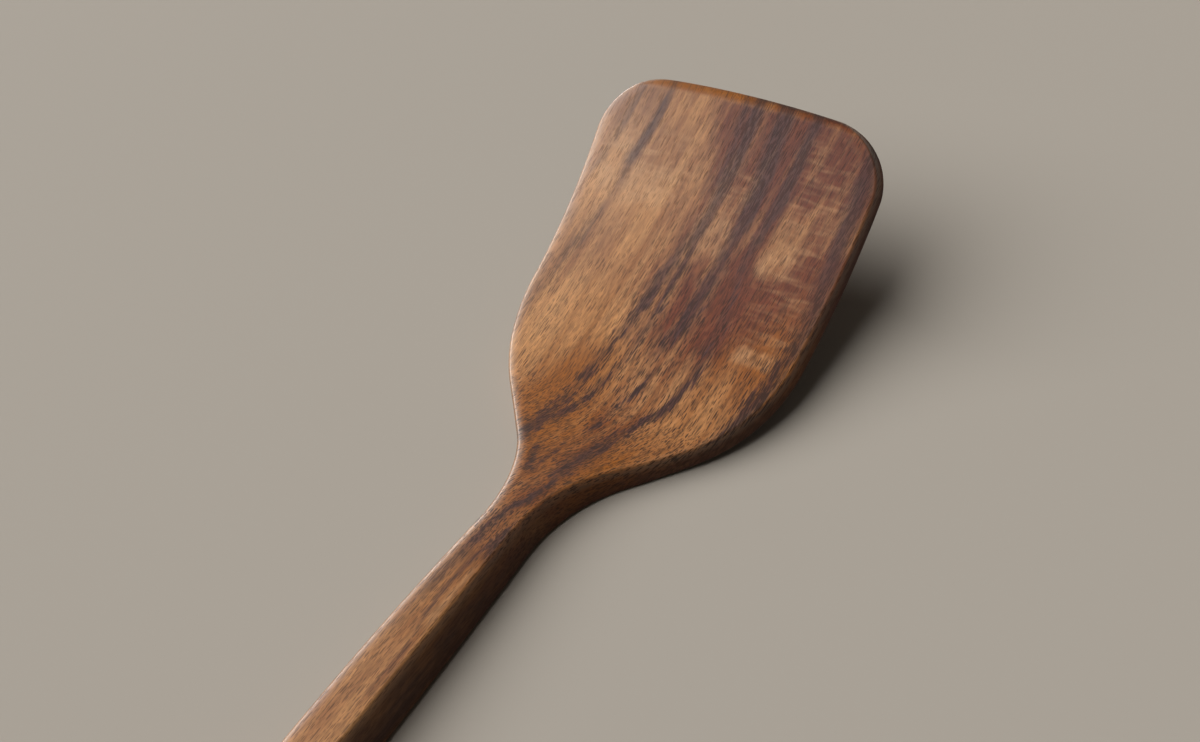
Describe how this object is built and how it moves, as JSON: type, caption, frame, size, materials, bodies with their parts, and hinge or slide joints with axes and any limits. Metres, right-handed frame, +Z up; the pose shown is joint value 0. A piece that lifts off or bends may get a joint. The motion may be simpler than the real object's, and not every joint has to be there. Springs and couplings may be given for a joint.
{
  "type": "wooden spatula",
  "caption": "Wooden cooking spatula with a broad, flared blade that curls up at the front to scoop, on a slim handle with eased edges, joined to it at the neck.",
  "frame": {"origin": "on the plane of the handle's flat underside, under the middle of the spatula's length", "axes": "+X from the butt of the handle to the front of the blade, +Y to the left, +Z up out of the hollow face"},
  "size_m": [0.3206, 0.085, 0.044],
  "materials": {
    "oiled_wood": "brown streaked heartwood, sanded smooth and oiled to a satin sheen"
  },
  "bodies": {
    "root": {"blade": "oiled_wood", "handle": "oiled_wood"}
  },
  "joints": []
}
